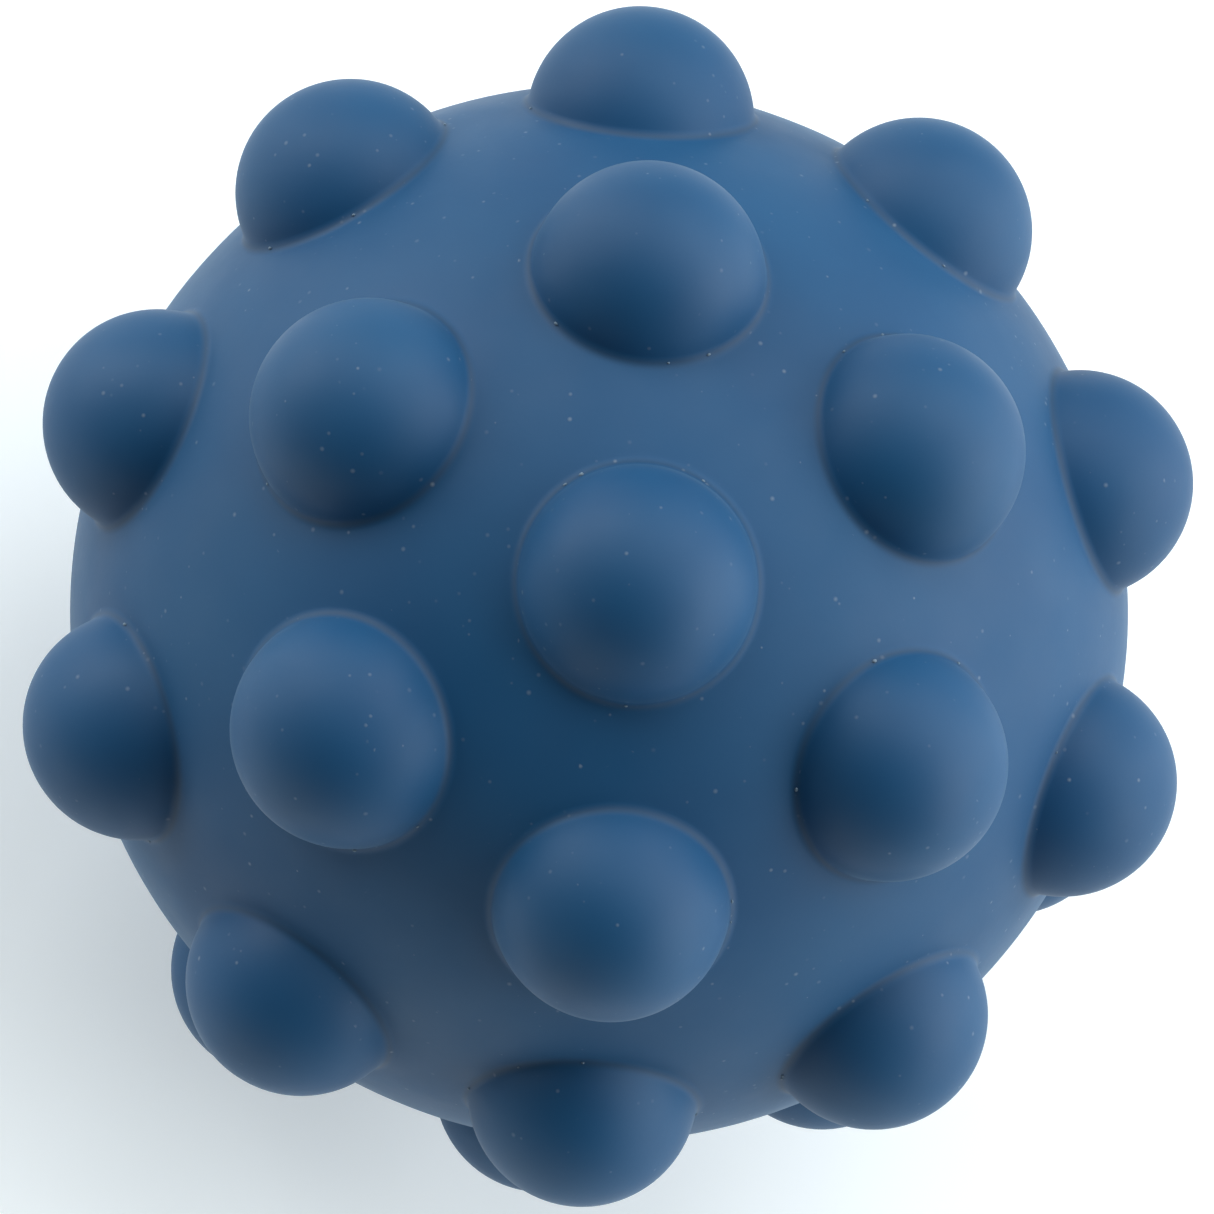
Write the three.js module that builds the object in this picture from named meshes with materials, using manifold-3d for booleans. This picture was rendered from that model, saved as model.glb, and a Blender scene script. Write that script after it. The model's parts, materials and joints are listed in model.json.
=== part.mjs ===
// Stress ball: a hollow silicone ball covered in pop domes that push in and turn inside out.
// Two equal half mouldings meet at the equator, where a bead of silicone adhesive in a groove
// bonds them. Every dome is a node of its own, because every dome pops by itself.
// Millimetres, +Z up. The origin is the ball's centre, and the ball rests on three domes.

import * as THREE from "three";
import { mergeVertices } from "three/addons/utils/BufferGeometryUtils.js";
import Module from "manifold-3d";

const manifold = await Module();
manifold.setup();

// Driving dimensions.
const tipToTip = 65;
const domeHeight = 4.75;
const domeBaseRadius = 5.85;
const domeWall = 1.2;
const footWall = 0.9;
const footDepth = 1.6;
const shellWall = 3;
const openingGap = 0.3;

// The domes of one half: one on the pole, then two rings, given by their angle from the pole.
// The rings' first domes are in line with each other.
const domeRings = [
  { name: "inner", polar: 35.4, count: 6 },
  { name: "outer", polar: 69.5, count: 10 },
];
const firstDomeAzimuth = 120;

// The halves are bonded slightly out of line: the upper one is turned by this many degrees.
const bondTwist = 2;

// The seam at the equator.
const seamGap = 0.3;
const grooveInset = 0.8;
const grooveWidth = 1.4;
const grooveDepth = 0.9;
const beadGap = 0.3;

// How finely round shapes are divided.
const domeSides = 20;
const shellSides = 40;
const shellSteps = 9;
const shellInnerSteps = 5;

const siliconeColor = "#3a5f88";
const siliconeRoughness = 0.55;
const adhesiveColor = "#2f4c6b";
const adhesiveRoughness = 0.4;

// Derived dimensions.
const bodyRadius = tipToTip / 2 - domeHeight;
const innerRadius = bodyRadius - shellWall;
const domeTop = bodyRadius + domeHeight;
const domeBaseHeight = Math.sqrt(bodyRadius ** 2 - domeBaseRadius ** 2);
const domeCentreHeight = (domeTop ** 2 - bodyRadius ** 2) / (2 * (domeTop - domeBaseHeight));
const domeRadius = domeTop - domeCentreHeight;
const openingRadius = domeBaseRadius + openingGap;

// The ball lies on the lower pole dome and two domes of the ring beside it. All three touch the
// table when the polar axis leans by this angle, halfway in azimuth between those two domes.
const ringPolar = THREE.MathUtils.degToRad(domeRings[0].polar);
const halfRingStep = Math.PI / domeRings[0].count;
const restLean = Math.atan((1 - Math.cos(ringPolar)) / (Math.sin(ringPolar) * Math.cos(halfRingStep)));

// A solid of revolution about Z, from [radius, height] points.
function revolve(profile, sides) {
  const points = profile.map(([radius, height]) => new THREE.Vector2(radius, height));
  return new THREE.LatheGeometry(points, sides).rotateX(Math.PI / 2);
}

// Points on an arc about a centre on the axis, between two angles from the axis, ends included.
function arc(radius, centreHeight, from, to, steps) {
  const points = [];
  for (let step = 0; step <= steps; step += 1) {
    const angle = from + ((to - from) * step) / steps;
    points.push([radius * Math.sin(angle), centreHeight + radius * Math.cos(angle)]);
  }
  return points;
}

function toSolid(geometry) {
  const bare = geometry.clone();
  bare.deleteAttribute("normal");
  bare.deleteAttribute("uv");
  const merged = mergeVertices(bare, 1e-4);
  return new manifold.Manifold(new manifold.Mesh({
    numProp: 3,
    vertProperties: merged.attributes.position.array,
    triVerts: new Uint32Array(merged.index.array),
  }));
}

function toGeometry(solid) {
  const mesh = solid.getMesh();
  const geometry = new THREE.BufferGeometry();
  geometry.setAttribute("position", new THREE.BufferAttribute(mesh.vertProperties, 3));
  geometry.setIndex(new THREE.BufferAttribute(mesh.triVerts, 1));
  geometry.computeVertexNormals();
  return geometry;
}

// Where each dome of one half is: its name, and its axis as a polar angle and an azimuth.
function domePlaces() {
  const places = [{ name: "pole_dome", polar: 0, azimuth: 0 }];
  for (const ring of domeRings) {
    for (let index = 0; index < ring.count; index += 1) {
      places.push({
        name: `${ring.name}_dome_${index + 1}`,
        polar: THREE.MathUtils.degToRad(ring.polar),
        azimuth: THREE.MathUtils.degToRad(firstDomeAzimuth + (360 / ring.count) * index),
      });
    }
  }
  return places;
}

// A dome about the +Z axis at its place on the ball: a round cap with a short foot that sits in
// the shell's opening, where the thin moulded web joins it to the shell.
function domeGeometry() {
  const baseAngle = Math.acos((domeBaseHeight - domeCentreHeight) / domeRadius);
  const underside = domeRadius - domeWall;
  const footBottom = domeBaseHeight - footDepth;
  const footInner = domeBaseRadius - footWall;
  const outerArc = arc(domeRadius, domeCentreHeight, 0, baseAngle, 4);
  const innerArc = arc(underside, domeCentreHeight, baseAngle, 0, 2);
  innerArc.shift();
  const profile = [
    ...outerArc,
    [domeBaseRadius, footBottom],
    [footInner, footBottom],
    [footInner, domeBaseHeight - domeWall / 2],
    ...innerArc,
  ];
  return revolve(profile.reverse(), domeSides);
}

// The upper half of the shell, with an opening for each dome and a groove in its rim.
function shellGeometry() {
  const rim = seamGap / 2;
  const outerEnd = Math.acos(rim / bodyRadius);
  const innerEnd = Math.acos(rim / innerRadius);
  const grooveOuter = bodyRadius - grooveInset;
  const grooveInner = grooveOuter - grooveWidth;
  const profile = [
    ...arc(bodyRadius, 0, 0, outerEnd, shellSteps),
    [grooveOuter, rim],
    [grooveOuter, rim + grooveDepth],
    [grooveInner, rim + grooveDepth],
    [grooveInner, rim],
    ...arc(innerRadius, 0, innerEnd, 0, shellInnerSteps),
  ];
  let shell = toSolid(revolve(profile.reverse(), shellSides));
  const reach = 2;
  const opening = revolve([
    [0, innerRadius - reach],
    [openingRadius, innerRadius - reach],
    [openingRadius, bodyRadius + reach],
    [0, bodyRadius + reach],
  ], domeSides);
  for (const { polar, azimuth } of domePlaces()) {
    shell = shell.subtract(toSolid(opening.clone().rotateY(polar).rotateZ(azimuth)));
  }
  return toGeometry(shell);
}

// The adhesive ring that fills the two grooves at the equator.
function beadGeometry() {
  const outer = bodyRadius - grooveInset - beadGap;
  const inner = outer - grooveWidth + 2 * beadGap;
  const half = seamGap / 2 + grooveDepth - beadGap;
  return revolve([[inner, half], [inner, -half], [outer, -half], [outer, half], [inner, half]], shellSides);
}

const silicone = { color: siliconeColor, roughness: siliconeRoughness, metalness: 0 };
const adhesive = { color: adhesiveColor, roughness: adhesiveRoughness, metalness: 0 };

function named(name, geometry, finish) {
  const mesh = new THREE.Mesh(geometry, new THREE.MeshStandardMaterial(finish));
  mesh.name = name;
  return mesh;
}

const shell = shellGeometry();
const dome = domeGeometry();

function halfBall(half) {
  const group = new THREE.Group();
  group.add(named(`${half}_shell`, shell, silicone));
  for (const { name, polar, azimuth } of domePlaces()) {
    const mesh = named(`${half}_${name}`, dome, silicone);
    mesh.rotation.set(0, polar, azimuth, "ZYX");
    group.add(mesh);
  }
  return group;
}

// The lower half is the same moulding, turned over about the axis through the first domes, so
// that its domes mirror the upper ones but for the twist of the bond.
const upper = halfBall("upper");
const lower = halfBall("lower");
const firstAzimuth = THREE.MathUtils.degToRad(firstDomeAzimuth);
lower.quaternion.setFromAxisAngle(
  new THREE.Vector3(Math.cos(firstAzimuth), Math.sin(firstAzimuth), 0),
  Math.PI,
);
upper.rotation.z = THREE.MathUtils.degToRad(bondTwist);

const ball = new THREE.Group();
ball.add(upper, lower, named("seam_bead", beadGeometry(), adhesive));
ball.rotation.x = restLean;

export default ball;
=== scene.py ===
"""Stress ball: moulded silicone halves, pop domes and a soft studio, built around the CAD frame."""
import json
import math

import bmesh
import bpy
import numpy as np
from mathutils import Matrix, Vector, noise
from mathutils.geometry import delaunay_2d_cdt

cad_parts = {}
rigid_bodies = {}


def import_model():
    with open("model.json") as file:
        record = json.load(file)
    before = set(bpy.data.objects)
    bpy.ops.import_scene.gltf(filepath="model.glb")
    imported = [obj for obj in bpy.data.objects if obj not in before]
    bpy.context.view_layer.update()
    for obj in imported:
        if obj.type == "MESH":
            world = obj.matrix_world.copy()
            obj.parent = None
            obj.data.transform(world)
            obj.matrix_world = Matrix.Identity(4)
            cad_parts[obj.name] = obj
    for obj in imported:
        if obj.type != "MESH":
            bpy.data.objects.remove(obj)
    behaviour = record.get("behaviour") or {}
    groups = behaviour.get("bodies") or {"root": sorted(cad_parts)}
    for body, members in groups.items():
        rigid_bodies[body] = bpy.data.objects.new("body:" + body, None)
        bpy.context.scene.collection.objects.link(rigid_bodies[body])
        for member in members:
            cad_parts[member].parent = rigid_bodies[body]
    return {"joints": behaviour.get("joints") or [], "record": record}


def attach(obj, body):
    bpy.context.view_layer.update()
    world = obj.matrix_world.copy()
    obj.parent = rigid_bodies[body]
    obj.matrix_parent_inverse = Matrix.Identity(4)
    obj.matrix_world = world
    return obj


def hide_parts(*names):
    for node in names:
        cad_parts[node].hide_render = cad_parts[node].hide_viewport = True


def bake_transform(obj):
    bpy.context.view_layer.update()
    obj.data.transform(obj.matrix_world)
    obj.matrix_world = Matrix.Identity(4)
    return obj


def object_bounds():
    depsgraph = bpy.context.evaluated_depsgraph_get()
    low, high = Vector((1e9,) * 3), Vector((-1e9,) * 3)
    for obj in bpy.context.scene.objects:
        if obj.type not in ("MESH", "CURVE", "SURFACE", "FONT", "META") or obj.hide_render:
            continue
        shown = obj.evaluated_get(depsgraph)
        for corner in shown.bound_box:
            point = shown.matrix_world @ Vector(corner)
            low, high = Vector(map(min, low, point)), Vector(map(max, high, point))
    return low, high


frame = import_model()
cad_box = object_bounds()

MM = 0.001

# The ball's shape, as in the CAD, in millimetres.
TIP_TO_TIP = 65.0
DOME_HEIGHT = 4.75
DOME_BASE_RADIUS = 5.85
SHELL_WALL = 3.0
DOME_WALL = 1.2
BODY_RADIUS = TIP_TO_TIP / 2 - DOME_HEIGHT
INNER_RADIUS = BODY_RADIUS - SHELL_WALL
DOME_TOP = BODY_RADIUS + DOME_HEIGHT
DOME_BASE_Z = math.sqrt(BODY_RADIUS**2 - DOME_BASE_RADIUS**2)
DOME_CENTRE_Z = (DOME_TOP**2 - BODY_RADIUS**2) / (2 * (DOME_TOP - DOME_BASE_Z))
DOME_RADIUS = DOME_TOP - DOME_CENTRE_Z

# The crease where a dome meets the body: a soft hollow curve that starts this far from the corner.
CREASE_REACH = 0.48
CREASE_STEPS = 8
FROM_CREASE = "from_crease"

# The dome's wall thins to a hinge at its base, where it folds when it pops: the share of the wall
# that is left there, and the height over which the wall grows to its full thickness.
HINGE_SHARE = 0.15
HINGE_HEIGHT = 3.0

# The seam: each moulding's edge is rounded, and the adhesive fills the gap and a groove.
SEAM_GAP = 0.06
EDGE_ROUND = 0.22
GROOVE_INSET = 0.8
GROOVE_WIDTH = 1.4
GROOVE_DEPTH = 0.9
SEAM_BAND = 0.9
EDGE_STEPS = 5
EDGE_END = -math.pi / 18
EDGE_TO_BAND = 0.1

# Moulded silicone is never quite true: slow waves in the skin.
WAVE_HEIGHT = 0.035
WAVE_LENGTH = 9.0
FINE_WAVE_SHARE = 0.4
FINE_WAVE_RATIO = 2.7

# Flash: tiny nibs of silicone at the domes' edges, a few on each dome (half sizes in millimetres).
FLASH_SEED = 5
FLASH_COUNT = (2, 6)
FLASH_SIZE = (0.06, 0.13)
FLASH_SQUASH = (0.5, 0.8)
FLASH_LUMPS = 0.2
FLASH_LUMP_RATIO = 1.7
FLASH_DETAIL = 3
FLASH_RISE = 0.02

# How finely the skin is divided. An apron is the ring of skin outside a dome's crease, and the
# margins, in shares of the spacing, keep the even points clear of the aprons and the seam band.
AROUND_DOME = 96
AROUND_SEAM = 320
DOME_RINGS = 24
SKIN_SPACING = 0.85
APRON = 0.7
APRON_STEPS = (0, 0.4, 0.72)
APRON_MARGIN = 0.7
SEAM_MARGIN = 0.6

# Points closer than this are one, edges sharper than this stay hard, and the adhesive keeps this gap.
MERGE = 1e-7
SHARP_ANGLE = math.radians(50)
CLEAR = 0.01

# The silicone's colours (linear) and finish; sizes in millimetres. A NOISE pair is the stretch of a
# noise's values that is used.
MIDDLE_NOISE = (0.3, 0.7)
DEEP_BLUE = (0.0035, 0.063, 0.166)
PALE_BLUE = (0.0055, 0.076, 0.188)
# Painted light: the nibs are the same silicone but coloured much paler, standing in for light through the
# thin nibs and lifting their shaded undersides.
NIB_LIT_DEEP = (0.17, 0.27, 0.36)
NIB_LIT_PALE = (0.26, 0.36, 0.45)
TONE_SIZE = 11.0
BLOOM_COLOUR = (0.03, 0.10, 0.19)
BLOOM_SIZE = 17.0
BLOOM_SHARE = 0.1
BLOOM_NOISE = (0.45, 0.75)
RUB_SIZE = 4.0
ROUGHNESS = (0.56, 0.64)
SILICONE_IOR = 1.43
SHEEN = 0.13
SHEEN_ROUGHNESS = 0.25
SHEEN_TINT = (0.85, 1.0, 0.95)
GRAIN_SIZE = 0.35
GRAIN_HEIGHT = 0.004
DUST_CELL = 0.6
DUST_RADIUS = 0.16
DUST_SHARE = 0.16
DUST_COVER = 0.34
SMALLEST_SPECK = 0.35
FAINTEST_SPECK = 0.25
SPECK_CORE = 0.2
SCUFF_SIZE = 6.0
SCUFF_SHARE = 0.6
SCUFF_NOISE = (0.56, 0.7)
CREASE_DUST_REACH = 0.7
CREASE_DUST_SHARE = 0.3
# Painted shade: a patchy dark band along the bottom of each crease, darkest at the crease, standing in for
# the shade that falls there.
CREASE_SHADE_REACH = 0.3
CREASE_SHADE_COVER = (0.4, 0.5)
CREASE_SHADE_PATCH_SIZE = 3.0
CREASE_SHADE_NOISE = (0.35, 0.6)
CREASE_SHADE_COLOUR = (0.022, 0.045, 0.08)
DUST_COLOUR = (0.36, 0.42, 0.46)
DUST_HEIGHT = 0.01
GLUE_DARK = (0.016, 0.07, 0.165)
GLUE_LIGHT = (0.022, 0.09, 0.21)
GLUE_ROUGHNESS = (0.22, 0.36)

# The camera, in metres and degrees about the ball's centre.
CAMERA_DISTANCE = 0.34494
CAMERA_AZIMUTH = -3.428
CAMERA_ELEVATION = 64.982
CAMERA_ROLL = 38.693
CAMERA_LENS = 194.36
CAMERA_SHIFT = (0.00659, 0.00529)
CAMERA_CLIP = (0.01, 20)
SENSOR_WIDTH = 36

# The studio, in metres, degrees and watts: a pale floor, a white world and round soft lights
# (name, azimuth, elevation, power).
FLOOR_RADIUS = 0.7
AROUND_FLOOR = 128
FLOOR_ROUGHNESS = 0.9
FLOOR_TONE_SIZE = 400.0
FLOOR_COLOURS = ((0.76, 0.82, 0.84), (0.80, 0.86, 0.88))
FLOOR_GLOW_COLOUR = (0.94, 1.0, 1.0)
FLOOR_GLOW = 0.3
BACKDROP_COLOUR = (1.0, 1.0, 1.0)
LIGHT_DISTANCE = 0.8
LIGHT_SIZE = 0.6
LIGHTS = [
    ("right low", 90, 14, 2.83),
    ("right back low", 135, 14, 2.52),
    ("left back low", 225, 14, 0.41),
    ("left low", 270, 14, 3.2),
    ("right", 112, 42, 2.68),
    ("back", 175, 42, 1.96),
    ("left", 250, 42, 2.52),
    ("top", 180, 72, 2.22),
]


def unit(v):
    """The vector at length 1."""
    return v / np.linalg.norm(v)


def dome_axes():
    """Each dome's body name and its outward axis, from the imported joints."""
    return {j["child"]: unit(-np.array(j["axis"], float)) for j in frame["joints"]}


AXES = dome_axes()
BALL = frame["joints"][0]["parent"]


def side_axes(axis):
    """Two axes square to axis and to each other."""
    first = unit(np.cross(axis, (0.31, 0.87, 0.39)))
    return first, np.cross(axis, first)


def arc(centre, radius, start, end, steps):
    """Points (radius, height) on an arc, both ends included; angles are measured from the radius axis."""
    angles = np.linspace(start, end, steps + 1)
    return [centre + radius * np.array([math.cos(t), math.sin(t)]) for t in angles]


def crease():
    """The crease as (radius, height) about a dome's axis: from the body in, and from there up the dome."""
    turn = math.asin(DOME_BASE_RADIUS / BODY_RADIUS) + CREASE_REACH / BODY_RADIUS
    start = BODY_RADIUS * np.array([math.sin(turn), math.cos(turn)])
    inward = np.array([-math.cos(turn), math.sin(turn)])
    rise = math.atan2(DOME_BASE_Z - DOME_CENTRE_Z, DOME_BASE_RADIUS) + CREASE_REACH / DOME_RADIUS
    end = np.array([DOME_RADIUS * math.cos(rise), DOME_CENTRE_Z + DOME_RADIUS * math.sin(rise)])
    upward = np.array([-math.sin(rise), math.cos(rise)])
    to_corner = np.linalg.solve(np.stack([inward, upward], 1), end - start)[0]
    corner = start + inward * to_corner
    steps = np.linspace(0, 1, 2 * CREASE_STEPS + 1)
    curve = [(1 - t)**2 * start + 2 * t * (1 - t) * corner + t**2 * end for t in steps]
    return curve[:CREASE_STEPS + 1], curve[CREASE_STEPS:]


FROM_BODY, UP_DOME = crease()
APRON_RADIUS = FROM_BODY[0][0] + APRON


def on_sphere(radius, reach):
    """The point (reach, height) of a sphere of this radius about the ball's centre."""
    return np.array([reach, math.sqrt(radius**2 - reach**2)])


def sweep(axis, profile, count):
    """Points and faces of a profile of (radius, height) points turned round an axis."""
    across, along = side_axes(axis)
    turn = np.arange(count) * 2 * math.pi / count
    around = np.outer(np.cos(turn), across) + np.outer(np.sin(turn), along)
    points = np.concatenate([axis * height + around * radius for radius, height in profile])
    faces = []
    for row in range(len(profile) - 1):
        low, high = row * count, (row + 1) * count
        for k in range(count):
            after = (k + 1) % count
            faces.append((low + k, low + after, high + after, high + k))
    return points, faces


def wave(point):
    """How far the skin stands out at a point, in millimetres."""
    p = Vector(point) / WAVE_LENGTH
    return WAVE_HEIGHT * (noise.noise(p) + FINE_WAVE_SHARE * noise.noise(p * FINE_WAVE_RATIO))


def wavy(points):
    """Points pushed out from the ball's centre by the waves."""
    return np.array([p + unit(p) * wave(p) for p in points])


def crease_distance(points):
    """How far each point lies from the bottom of the nearest dome's crease."""
    reach, height = FROM_BODY[-1]
    nearest = (points @ np.array(list(AXES.values())).T).max(axis=1)
    across = np.sqrt(np.maximum((points**2).sum(axis=1) - nearest**2, 0))
    return np.hypot(across - reach, nearest - height)


def mesh_object(name, patches):
    """One smooth object from patches of points (in millimetres) and faces, joined where they meet."""
    bm = bmesh.new()
    for points, faces in patches:
        verts = [bm.verts.new(p) for p in wavy(points) * MM]
        for face in faces:
            bm.faces.new([verts[i] for i in face])
    bmesh.ops.remove_doubles(bm, verts=bm.verts, dist=MERGE)
    return object_from(bm, name)


def object_from(bm, name):
    """An object made from a bmesh, which is freed: smooth apart from its sharp and open edges."""
    for face in bm.faces:
        face.smooth = True
    for edge in bm.edges:
        edge.smooth = edge.is_manifold and edge.calc_face_angle() < SHARP_ANGLE
    mesh = bpy.data.meshes.new(name)
    bm.to_mesh(mesh)
    bm.free()
    places = np.array([vertex.co for vertex in mesh.vertices]) / MM
    mesh.attributes.new(FROM_CREASE, "FLOAT", "POINT").data.foreach_set("value", crease_distance(places))
    obj = bpy.data.objects.new(name, mesh)
    bpy.context.scene.collection.objects.link(obj)
    return obj


def fibonacci(count):
    """Points spread evenly over the unit sphere."""
    index = np.arange(count) + 0.5
    z = 1 - 2 * index / count
    turn = math.pi * (1 + math.sqrt(5)) * index
    flat = np.sqrt(1 - z * z)
    return np.stack([flat * np.cos(turn), flat * np.sin(turn), z], 1)


def flat_map(points, pole):
    """Unit points seen from the far end of the pole's axis: circles on the sphere stay circles."""
    across, along = side_axes(pole)
    return [Vector((p @ across, p @ along)) / (1 + p @ pole) for p in points]


def fill_between(pole, axes):
    """The body's surface between the dome aprons and the seam band, as unit points and triangles."""
    apron = on_sphere(BODY_RADIUS, APRON_RADIUS)
    band = on_sphere(BODY_RADIUS, SEAM_BAND)[::-1]
    rims = [sweep(axis, [apron], AROUND_DOME)[0] for axis in axes]
    rims.append(sweep(pole, [band], AROUND_SEAM)[0])
    rim_of = []
    edges = []
    for number, rim in enumerate(rims):
        start = len(rim_of)
        edges += [(start + step, start + (step + 1) % len(rim)) for step in range(len(rim))]
        rim_of += [number] * len(rim)
    clear = math.cos(math.atan2(*apron) + APRON_MARGIN * SKIN_SPACING / BODY_RADIUS)
    lowest = (SEAM_BAND + SEAM_MARGIN * SKIN_SPACING) / BODY_RADIUS
    even = fibonacci(round(4 * math.pi * BODY_RADIUS**2 / (SKIN_SPACING**2 * math.sqrt(3) / 2)))
    outside = (even @ np.array(axes).T).max(axis=1) < clear
    even = even[outside & (even @ pole > lowest)]
    points = np.concatenate([np.concatenate(rims) / BODY_RADIUS, even])
    flat = flat_map(points, pole)
    _, _, triangles, sources, _, _ = delaunay_2d_cdt(flat, edges, [], 0, MERGE)
    faces = []
    for triangle in triangles:
        corners = tuple(sources[corner][0] for corner in triangle)
        on_rims = [rim_of[corner] for corner in corners if corner < len(rim_of)]
        closes_a_rim = len(on_rims) == 3 and len(set(on_rims)) == 1
        if not closes_a_rim:
            faces.append(corners)
    return points, faces


def half_moulding(name, pole, axes):
    """One half of the body: its outer and inner skins, the walls of its dome openings, and its rim."""
    points, faces = fill_between(pole, axes)
    patches = [(points * BODY_RADIUS, faces), (points * INNER_RADIUS, [face[::-1] for face in faces])]
    inward = INNER_RADIUS / BODY_RADIUS
    apron = [on_sphere(BODY_RADIUS, APRON_RADIUS - APRON * step) for step in APRON_STEPS]
    foot_radius = FROM_BODY[-1][0]
    opening = [
        *apron,
        *FROM_BODY,
        on_sphere(INNER_RADIUS, foot_radius),
        apron[0] * inward,
    ]
    patches += [sweep(axis, opening, AROUND_DOME) for axis in axes]
    patches.append(sweep(pole, rim_profile(), AROUND_SEAM))
    return mesh_object(name, patches)


def rim_profile():
    """The half's rim: from the inner skin down, out past the adhesive's groove, round the edge and up."""
    gap = SEAM_GAP / 2
    band = on_sphere(BODY_RADIUS, SEAM_BAND)[::-1]
    groove_outer = BODY_RADIUS - GROOVE_INSET
    groove_inner = groove_outer - GROOVE_WIDTH
    top = gap + GROOVE_DEPTH
    corner = np.array([BODY_RADIUS - EDGE_ROUND, gap + EDGE_ROUND])
    edge = arc(corner, EDGE_ROUND, -math.pi / 2, EDGE_END, EDGE_STEPS)
    side = on_sphere(BODY_RADIUS, gap + EDGE_ROUND + EDGE_TO_BAND)[::-1]
    return [
        band * INNER_RADIUS / BODY_RADIUS,
        on_sphere(INNER_RADIUS, gap)[::-1],
        np.array([groove_inner, gap]),
        np.array([groove_inner, top]),
        np.array([groove_outer, top]),
        np.array([groove_outer, gap]),
        *edge,
        side,
        band,
    ]


def dome_moulding(name, axis):
    """One dome: a round cap from the crease's bottom to the tip, with its wall inwards."""
    start = UP_DOME[-1] - (0, DOME_CENTRE_Z)
    cap_start = math.atan2(start[1], start[0])
    centre = np.array([0.0, DOME_CENTRE_Z])
    cap_end = math.pi / 2 - (math.pi / 2 - cap_start) / DOME_RINGS
    cap = arc(centre, DOME_RADIUS, cap_start, cap_end, DOME_RINGS - 1)
    profile = UP_DOME + cap[1:]
    points, faces = sweep(axis, profile, AROUND_DOME)
    last = (len(profile) - 1) * AROUND_DOME
    tip = len(points)
    faces += [(last + k, last + (k + 1) % AROUND_DOME, tip) for k in range(AROUND_DOME)]
    points = np.concatenate([points, [axis * DOME_TOP]])
    obj = mesh_object(name, [(points, faces)])
    hinge = obj.vertex_groups.new(name="wall")
    for vertex in obj.data.vertices:
        height = vertex.co.dot(Vector(axis)) / MM - DOME_BASE_Z
        hinge.add([vertex.index], min(1.0, max(0.0, height / HINGE_HEIGHT)), "REPLACE")
    wall = obj.modifiers.new("wall", "SOLIDIFY")
    wall.thickness = DOME_WALL * MM
    wall.offset = -1
    wall.use_even_offset = False
    wall.vertex_group = hinge.name
    wall.thickness_vertex_group = HINGE_SHARE
    return obj


def seam_ring():
    """The adhesive: a ring in the two grooves, with a web that reaches the surface at the seam."""
    web = (SEAM_GAP - CLEAR) / 2
    outer = BODY_RADIUS - GROOVE_INSET - CLEAR
    inner = BODY_RADIUS - GROOVE_INSET - GROOVE_WIDTH + CLEAR
    top = SEAM_GAP / 2 + GROOVE_DEPTH - CLEAR
    face = BODY_RADIUS - EDGE_ROUND / 2
    upper = [
        np.array([inner, top]),
        np.array([outer, top]),
        np.array([outer, web]),
        np.array([BODY_RADIUS - EDGE_ROUND, web]),
        np.array([face, 2 * web]),
    ]
    lower = [point * (1, -1) for point in upper]
    front = np.array([face + web, 0.0])
    loop = [*lower, front, *upper[::-1], lower[0]]
    return mesh_object("seam_adhesive", [sweep(AXES["lower_pole_dome"], loop, AROUND_SEAM)])


def mould_flash():
    """Tiny nibs of silicone left in the creases round the domes, as one piece."""
    random = np.random.default_rng(FLASH_SEED)
    radius, height = FROM_BODY[-1]
    bm = bmesh.new()
    for axis in AXES.values():
        across, along = side_axes(axis)
        for _ in range(random.integers(*FLASH_COUNT)):
            turn = random.uniform(0, 2 * math.pi)
            outward = across * math.cos(turn) + along * math.sin(turn)
            centre = outward * radius + axis * (height + FLASH_RISE)
            centre = centre + unit(centre) * wave(centre)
            length = random.uniform(*FLASH_SIZE)
            half_sizes = length * np.array([1.0, *random.uniform(*FLASH_SQUASH, 2)])
            turned = np.stack([np.cross(outward, axis), outward, axis], 1)
            nib = bmesh.ops.create_icosphere(bm, subdivisions=FLASH_DETAIL, radius=1.0)
            for vert in nib["verts"]:
                lumps = 1 + FLASH_LUMPS * noise.noise(vert.co * FLASH_LUMP_RATIO + Vector(centre))
                vert.co = (centre + turned @ (np.array(vert.co) * half_sizes) * lumps) * MM
    return object_from(bm, "mould_flash")


class Nodes:
    """A material's node tree, built one node at a time."""

    def __init__(self, name):
        self.material = bpy.data.materials.new(name)
        self.material.use_nodes = True
        self.tree = self.material.node_tree
        self.shader = self.tree.nodes["Principled BSDF"]

    def put(self, value, socket):
        """Links an output to a socket, or sets the socket's own value."""
        if isinstance(value, bpy.types.NodeSocket):
            self.tree.links.new(value, socket)
        else:
            socket.default_value = value

    def add(self, kind, settings=(), **inputs):
        """A node with some inputs given by name or, for number inputs, as _0, _1 and so on."""
        node = self.tree.nodes.new(kind)
        for key, value in dict(settings).items():
            setattr(node, key, value)
        for key, value in inputs.items():
            socket = node.inputs[int(key[1:]) if key.startswith("_") else key.replace("_", " ")]
            self.put(value, socket)
        return node

    def place(self):
        """The point on the object, in metres."""
        return self.add("ShaderNodeTexCoord").outputs["Object"]

    def noise(self, place, size, detail=2.0):
        """Smooth noise from 0 to 1 with features of this size in millimetres."""
        node = self.add("ShaderNodeTexNoise", Vector=place, Scale=1 / (size * MM), Detail=detail)
        return node.outputs["Fac"]

    def spread(self, value, low, high, to_low=0.0, to_high=1.0):
        """A value's range from low to high, stretched to another range and held within it."""
        node = self.add("ShaderNodeMapRange", _0=value, _1=low, _2=high, _3=to_low, _4=to_high)
        return node.outputs[0]

    def maths(self, operation, first, second):
        """One sum, product or comparison of two numbers."""
        return self.add("ShaderNodeMath", {"operation": operation}, _0=first, _1=second).outputs[0]

    def mix(self, share, first, second):
        """A colour between two others."""
        node = self.add("ShaderNodeMix", {"data_type": "RGBA"})
        self.put(share, node.inputs[0])
        self.put(first, node.inputs[6])
        self.put(second, node.inputs[7])
        return node.outputs[2]


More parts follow.
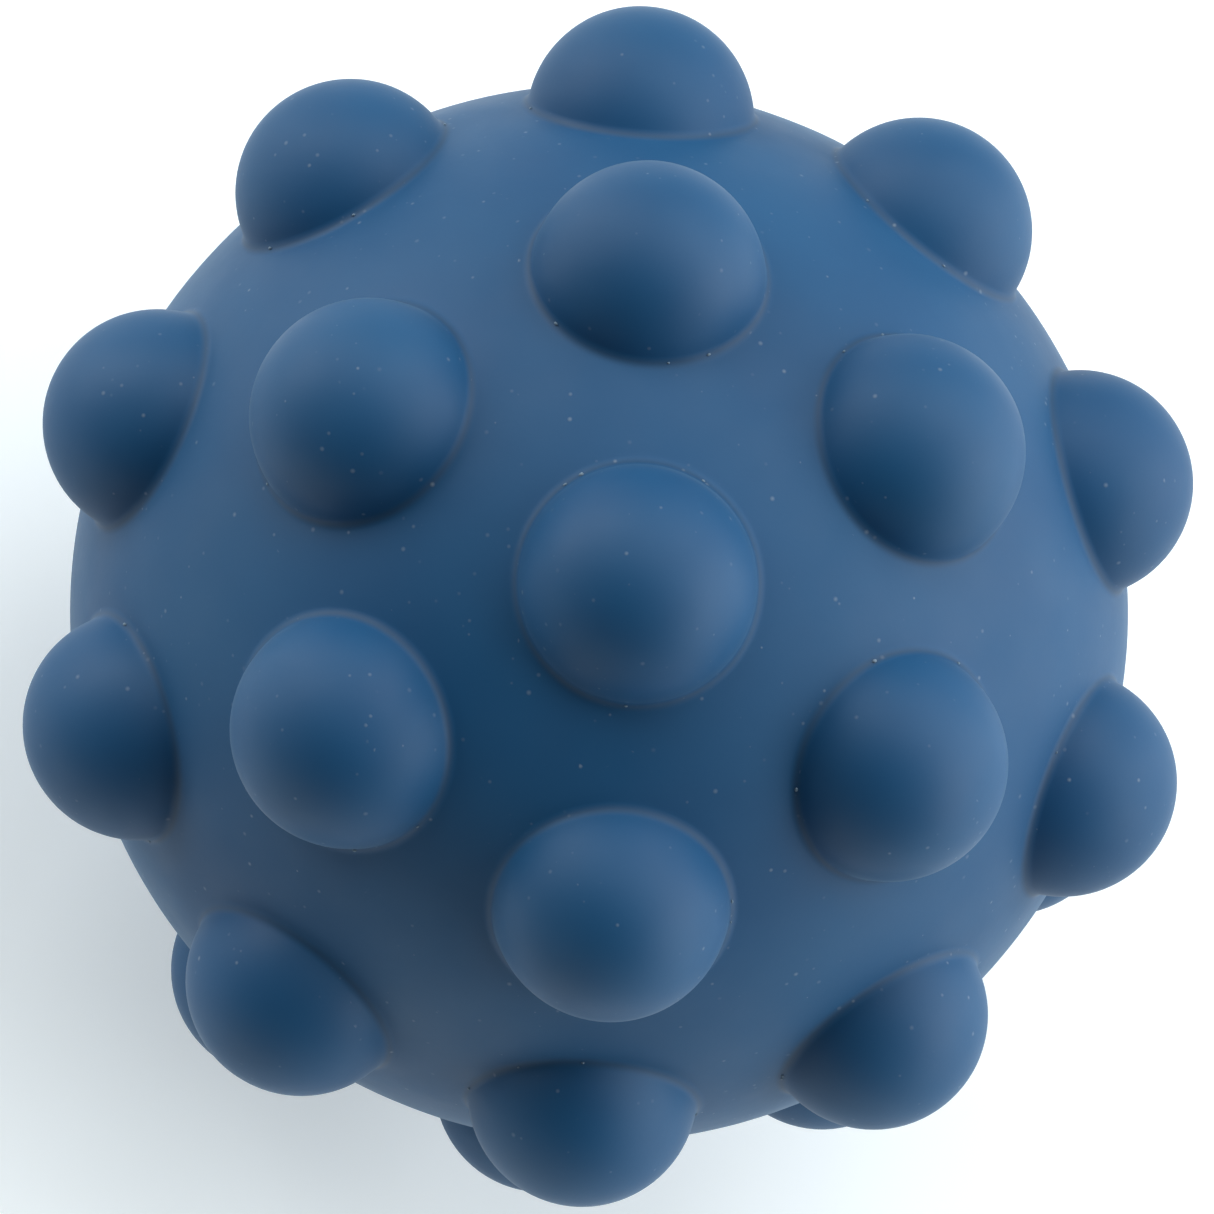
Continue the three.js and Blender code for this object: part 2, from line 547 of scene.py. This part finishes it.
def specks(nodes, place, cell, largest, share):
    """Scattered round dots, 0 outside and up to 1 inside: one in some of the cells of this size."""
    node = nodes.add("ShaderNodeTexVoronoi", Vector=place, Scale=1 / (cell * MM))
    random = nodes.add("ShaderNodeSeparateColor", Color=node.outputs["Color"]).outputs
    radius = nodes.spread(random[0], 0.0, 1.0, SMALLEST_SPECK * largest / cell, largest / cell)
    strength = nodes.spread(random[2], 0.0, 1.0, FAINTEST_SPECK, 1.0)
    away = nodes.maths("DIVIDE", node.outputs["Distance"], radius)
    inside = nodes.spread(away, SPECK_CORE, 1.0, strength, 0.0)
    chosen = nodes.maths("LESS_THAN", random[1], share)
    return nodes.maths("MULTIPLY", inside, chosen)


def silicone(name, deep, pale):
    """Satin silicone: slow tone changes, a dry bloom, a fine grain, painted shade in a patchy dark band
    along the creases, and dust that gathers in the creases.
    """
    nodes = Nodes(name)
    place = nodes.place()
    away = nodes.add("ShaderNodeAttribute", {"attribute_name": FROM_CREASE}).outputs["Fac"]
    tone = nodes.spread(nodes.noise(place, TONE_SIZE, 3.0), *MIDDLE_NOISE)
    colour = nodes.mix(tone, (*deep, 1), (*pale, 1))
    bloom = nodes.spread(nodes.noise(place, BLOOM_SIZE, 4.0), *BLOOM_NOISE, 0.0, BLOOM_SHARE)
    colour = nodes.mix(bloom, colour, (*BLOOM_COLOUR, 1))
    # Painted shade: the colour darkens towards each crease, in patches.
    patchy_shade = nodes.spread(nodes.noise(place, CREASE_SHADE_PATCH_SIZE), *CREASE_SHADE_NOISE, *CREASE_SHADE_COVER)
    crease_shade = nodes.maths("MULTIPLY", nodes.spread(away, 0.0, CREASE_SHADE_REACH, 1.0, 0.0), patchy_shade)
    colour = nodes.mix(crease_shade, colour, (*CREASE_SHADE_COLOUR, 1))
    handled = nodes.spread(nodes.noise(place, SCUFF_SIZE), *SCUFF_NOISE, DUST_SHARE, SCUFF_SHARE)
    gathered = nodes.spread(away, 0.0, CREASE_DUST_REACH, CREASE_DUST_SHARE, 0.0)
    share = nodes.maths("ADD", handled, gathered)
    dust = specks(nodes, place, DUST_CELL, DUST_RADIUS, share)
    colour = nodes.mix(nodes.maths("MULTIPLY", dust, DUST_COVER), colour, (*DUST_COLOUR, 1))
    nodes.put(colour, nodes.shader.inputs["Base Color"])
    rough = nodes.spread(nodes.noise(place, RUB_SIZE, 4.0), *MIDDLE_NOISE, *ROUGHNESS)
    nodes.put(rough, nodes.shader.inputs["Roughness"])
    grain = nodes.maths("MULTIPLY", nodes.noise(place, GRAIN_SIZE, 3.0), GRAIN_HEIGHT * MM)
    height = nodes.maths("ADD", grain, nodes.maths("MULTIPLY", dust, DUST_HEIGHT * MM))
    bump = nodes.add("ShaderNodeBump", Height=height, Distance=1.0, Strength=1.0)
    nodes.put(bump.outputs[0], nodes.shader.inputs["Normal"])
    nodes.shader.inputs["IOR"].default_value = SILICONE_IOR
    nodes.shader.inputs["Sheen Weight"].default_value = SHEEN
    nodes.shader.inputs["Sheen Roughness"].default_value = SHEEN_ROUGHNESS
    nodes.shader.inputs["Sheen Tint"].default_value = (*SHEEN_TINT, 1)
    return nodes.material


def adhesive(name):
    """Clear-set silicone glue: darker and glossier than the mouldings, with slow changes of gloss."""
    nodes = Nodes(name)
    place = nodes.place()
    tone = nodes.noise(place, TONE_SIZE / 4, 3.0)
    nodes.put(nodes.mix(tone, (*GLUE_DARK, 1), (*GLUE_LIGHT, 1)), nodes.shader.inputs["Base Color"])
    gloss = nodes.spread(nodes.noise(place, RUB_SIZE / 2, 3.0), *MIDDLE_NOISE, *GLUE_ROUGHNESS)
    nodes.put(gloss, nodes.shader.inputs["Roughness"])
    nodes.shader.inputs["IOR"].default_value = SILICONE_IOR
    return nodes.material


def build_ball():
    """All the ball's pieces, each with its material: they take the place of the CAD parts they hide, and all
    but the domes ride on the ball's body.
    """
    skin = silicone("silicone", DEEP_BLUE, PALE_BLUE)
    for half in ("upper", "lower"):
        axes = [axis for body, axis in AXES.items() if body.startswith(half)]
        piece = half_moulding(f"{half}_skin", AXES[f"{half}_pole_dome"], axes)
        piece.data.materials.append(skin)
        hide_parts(f"{half}_shell")
        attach(piece, BALL)
    for body, axis in AXES.items():
        piece = dome_moulding(f"{body}_skin", axis)
        piece.data.materials.append(skin)
        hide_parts(frame["record"]["behaviour"]["bodies"][body][0])
        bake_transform(piece)
    flash = mould_flash()
    # The nibs' pale colours are painted light, not a different silicone.
    flash.data.materials.append(silicone("flash", NIB_LIT_DEEP, NIB_LIT_PALE))
    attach(flash, BALL)
    ring = seam_ring()
    ring.data.materials.append(adhesive("adhesive"))
    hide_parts("seam_bead")
    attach(ring, BALL)


def direction(azimuth, elevation):
    """The unit vector towards a place seen from the ball: azimuth 0 is the front, 90 the right."""
    turn, rise = math.radians(azimuth), math.radians(elevation)
    return Vector((
        math.sin(turn) * math.cos(rise),
        -math.cos(turn) * math.cos(rise),
        math.sin(rise),
    ))


def build_camera():
    """The camera, above the front and turned about its own axis."""
    data = bpy.data.cameras.new("camera")
    camera = bpy.data.objects.new("camera", data)
    bpy.context.scene.collection.objects.link(camera)
    back = direction(CAMERA_AZIMUTH, CAMERA_ELEVATION)
    level = back.to_track_quat("Z", "Y").to_matrix().to_4x4()
    roll = Matrix.Rotation(math.radians(CAMERA_ROLL), 4, "Z")
    camera.matrix_world = Matrix.Translation(back * CAMERA_DISTANCE) @ level @ roll
    data.lens = CAMERA_LENS
    data.sensor_width = SENSOR_WIDTH
    data.shift_x, data.shift_y = CAMERA_SHIFT
    data.clip_start, data.clip_end = CAMERA_CLIP
    bpy.context.scene.camera = camera


def build_floor():
    """A round, slightly uneven matt sheet under the ball, lit a little from below, as a light table is."""
    bm = bmesh.new()
    bmesh.ops.create_circle(bm, cap_ends=True, segments=AROUND_FLOOR, radius=FLOOR_RADIUS)
    mesh = bpy.data.meshes.new("floor")
    bm.to_mesh(mesh)
    bm.free()
    floor = bpy.data.objects.new("floor", mesh)
    bpy.context.scene.collection.objects.link(floor)
    floor.location.z = min(cad_box[0].z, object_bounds()[0].z)
    nodes = Nodes("floor")
    tone = nodes.noise(nodes.place(), FLOOR_TONE_SIZE)
    colour = nodes.mix(tone, (*FLOOR_COLOURS[0], 1), (*FLOOR_COLOURS[1], 1))
    nodes.put(colour, nodes.shader.inputs["Base Color"])
    nodes.shader.inputs["Roughness"].default_value = FLOOR_ROUGHNESS
    nodes.shader.inputs["Emission Color"].default_value = (*FLOOR_GLOW_COLOUR, 1)
    nodes.shader.inputs["Emission Strength"].default_value = FLOOR_GLOW
    mesh.materials.append(nodes.material)


def build_backdrop():
    """A plain pale world that the camera sees past the floor and that gives no light."""
    world = bpy.data.worlds.new("studio")
    bpy.context.scene.world = world
    world.use_nodes = True
    background = world.node_tree.nodes["Background"]
    background.inputs["Color"].default_value = (*BACKDROP_COLOUR, 1)
    rays = world.node_tree.nodes.new("ShaderNodeLightPath")
    world.node_tree.links.new(rays.outputs["Is Camera Ray"], background.inputs["Strength"])


def soft_light(name, azimuth, elevation, power):
    """A round soft white light that faces the ball."""
    data = bpy.data.lights.new(name, "AREA")
    data.shape = "DISK"
    data.size = LIGHT_SIZE
    data.energy = power
    lamp = bpy.data.objects.new(name, data)
    bpy.context.scene.collection.objects.link(lamp)
    towards = direction(azimuth, elevation)
    turn = towards.to_track_quat("Z", "Y").to_matrix().to_4x4()
    lamp.matrix_world = Matrix.Translation(towards * LIGHT_DISTANCE) @ turn


def build_light():
    """All the lights, and plain colours without a film look."""
    for light in LIGHTS:
        soft_light(*light)
    bpy.context.scene.view_settings.view_transform = "Standard"


build_camera()
build_ball()
build_floor()
build_backdrop()
build_light()
